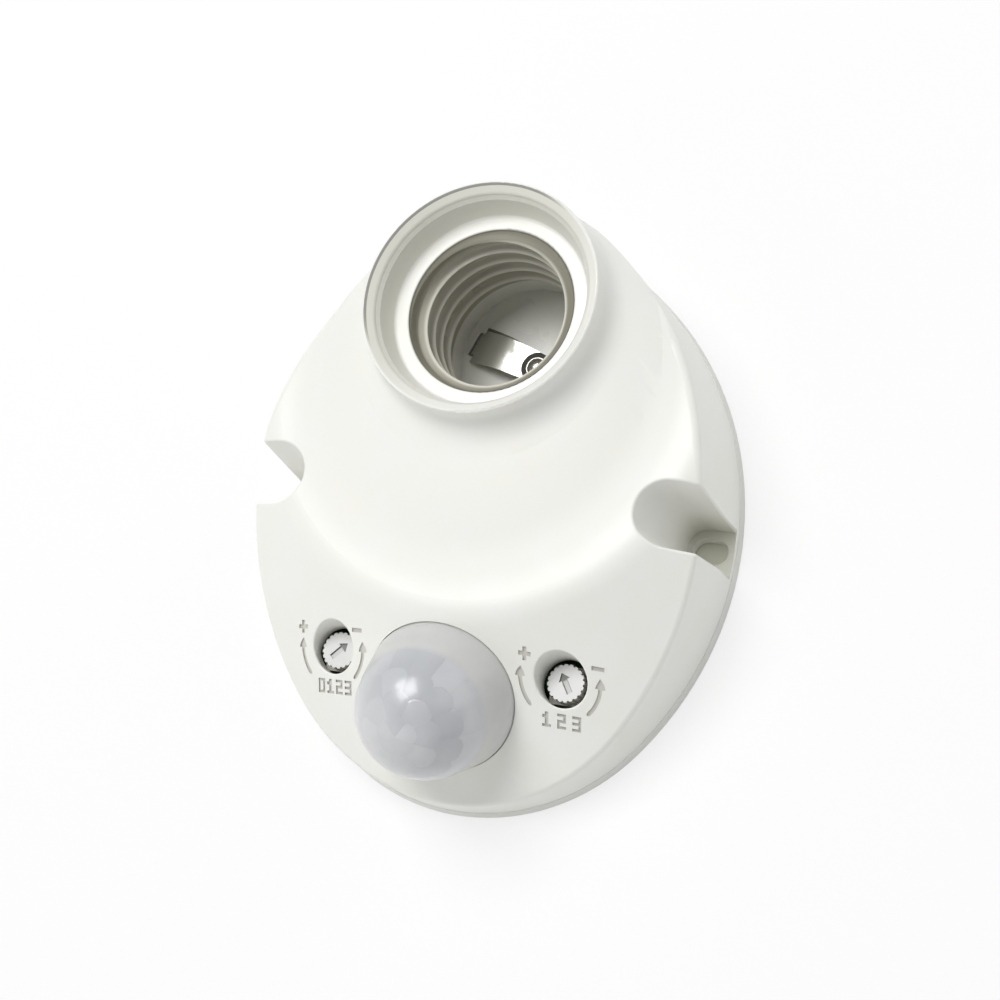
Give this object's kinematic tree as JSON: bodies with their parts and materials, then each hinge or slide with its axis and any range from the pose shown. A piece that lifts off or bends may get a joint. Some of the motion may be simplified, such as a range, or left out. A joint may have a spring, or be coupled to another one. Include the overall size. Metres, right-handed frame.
{
  "type": "motion sensor lamp holder",
  "caption": "Egg-shaped white lamp holder for a wall, with a raised screw socket, a domed motion sensor lens and two small setting dials in wells.",
  "frame": {"origin": "centre of the back face's outline, on the wall plane", "axes": "+Z out of the wall along the socket axis, +Y towards the lamp end, +X to the right"},
  "size_m": [0.0798, 0.1004, 0.0345],
  "materials": {
    "white_plastic": "satin moulded white thermoplastic",
    "rotor_plastic": "matt moulded white",
    "trimmer_plastic": "matt moulded grey",
    "lens_plastic": "milky translucent polyethylene",
    "board": "green solder mask",
    "screw_steel": "zinc plated",
    "contact_metal": "nickel plated spring strip",
    "rivet_metal": "polished rivet head",
    "sensor_can": "nickel plated can",
    "dark_resin": "moulded black resin",
    "relay_plastic": "moulded blue case",
    "capacitor_sleeve": "shrunk dark sleeve",
    "dropper_resin": "dipped yellow resin",
    "brass": "turned",
    "lead_brown": "brown insulation",
    "lead_blue": "blue insulation"
  },
  "bodies": {
    "base": {"back_plate": "white_plastic", "back_plate_screws": "screw_steel", "board_screws": "screw_steel", "centre_contact_lead": "lead_brown", "circuit_board": "board", "control_chip": "dark_resin", "dropper_capacitor": "dropper_resin", "housing": "white_plastic", "lens_dome": "lens_plastic", "lens_retainer": "white_plastic", "light_sensor": "dark_resin", "lux_trimmer_body": "trimmer_plastic", "pir_sensor": "sensor_can", "rectifier_diodes": "dark_resin", "relay": "relay_plastic", "side_contact_lead": "lead_blue", "smoothing_capacitor": "capacitor_sleeve", "supply_leads": "lead_brown", "terminal_block": "white_plastic", "terminal_screws": "screw_steel", "terminal_tubes": "brass", "time_trimmer_body": "trimmer_plastic"},
    "time_dial": {"time_trimmer_rotor": "rotor_plastic"},
    "lux_dial": {"lux_trimmer_rotor": "rotor_plastic"},
    "centre_spring": {"centre_contact": "contact_metal", "centre_contact_rivet": "rivet_metal"},
    "side_spring": {"side_contact": "contact_metal"}
  },
  "joints": [
    {"name": "time_dial_turn", "type": "hinge", "parent": "base", "child": "time_dial", "pos_m": [-0.0195, -0.0284, 0.012], "axis": [0, 0, 1], "range_deg": [-62.4, 147.6]},
    {"name": "lux_dial_turn", "type": "hinge", "parent": "base", "child": "lux_dial", "pos_m": [0.0195, -0.0284, 0.012], "axis": [0, 0, 1], "range_deg": [-137.5, 72.5]},
    {"name": "centre_contact_press", "type": "hinge", "parent": "base", "child": "centre_spring", "pos_m": [-0.01054, 0.02898, 0.005], "axis": [0.3322, 0.9432, 0], "range_deg": [0, 9], "stiffness_Nm_per_rad": 0.1},
    {"name": "side_contact_press", "type": "hinge", "parent": "base", "child": "side_spring", "pos_m": [0.0088, 0.01563, 0.005], "axis": [0.788, 0.6157, 0], "range_deg": [0, 6], "stiffness_Nm_per_rad": 0.1}
  ]
}
